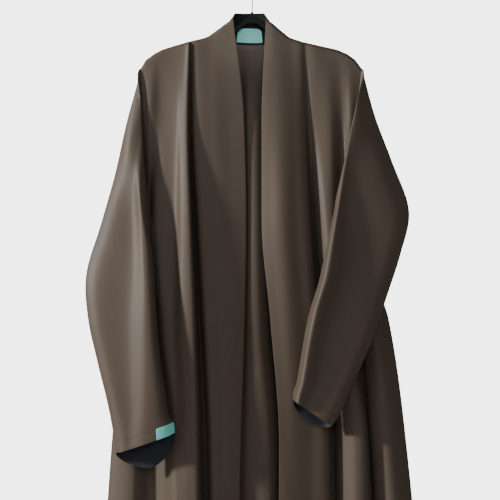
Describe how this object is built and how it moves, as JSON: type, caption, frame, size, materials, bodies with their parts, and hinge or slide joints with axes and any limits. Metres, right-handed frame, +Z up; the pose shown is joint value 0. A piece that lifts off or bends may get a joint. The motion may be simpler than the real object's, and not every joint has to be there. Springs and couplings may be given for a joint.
{
  "type": "abaya cloak on a hanger",
  "caption": "Open-fronted full-length abaya cloak with wide sleeves and a standing neck band, in plain crepe, hanging on a plain black hanger.",
  "frame": {"origin": "inner top of the hanger's hook, where it hangs on a rail or wall hook", "axes": "+Z up the hook, +X to the right of a viewer who faces the cloak's open front, +Y from the front to the back"},
  "size_m": [0.651, 0.2004, 1.5515],
  "materials": {
    "crepe": "matt taupe-brown crepe with a soft sheen",
    "facing": "matt black cloth",
    "label": "smooth woven label",
    "hanger": "satin black plastic",
    "hook": "plated steel wire"
  },
  "bodies": {
    "root": {"back": "crepe", "front_right": "crepe", "front_left": "crepe", "sleeve_right": "crepe", "sleeve_left": "crepe", "collar": "crepe", "back_neck_facing": "facing", "neck_label": "label", "cuff_label": "label", "hanger": "hanger", "hook": "hook"}
  },
  "joints": []
}
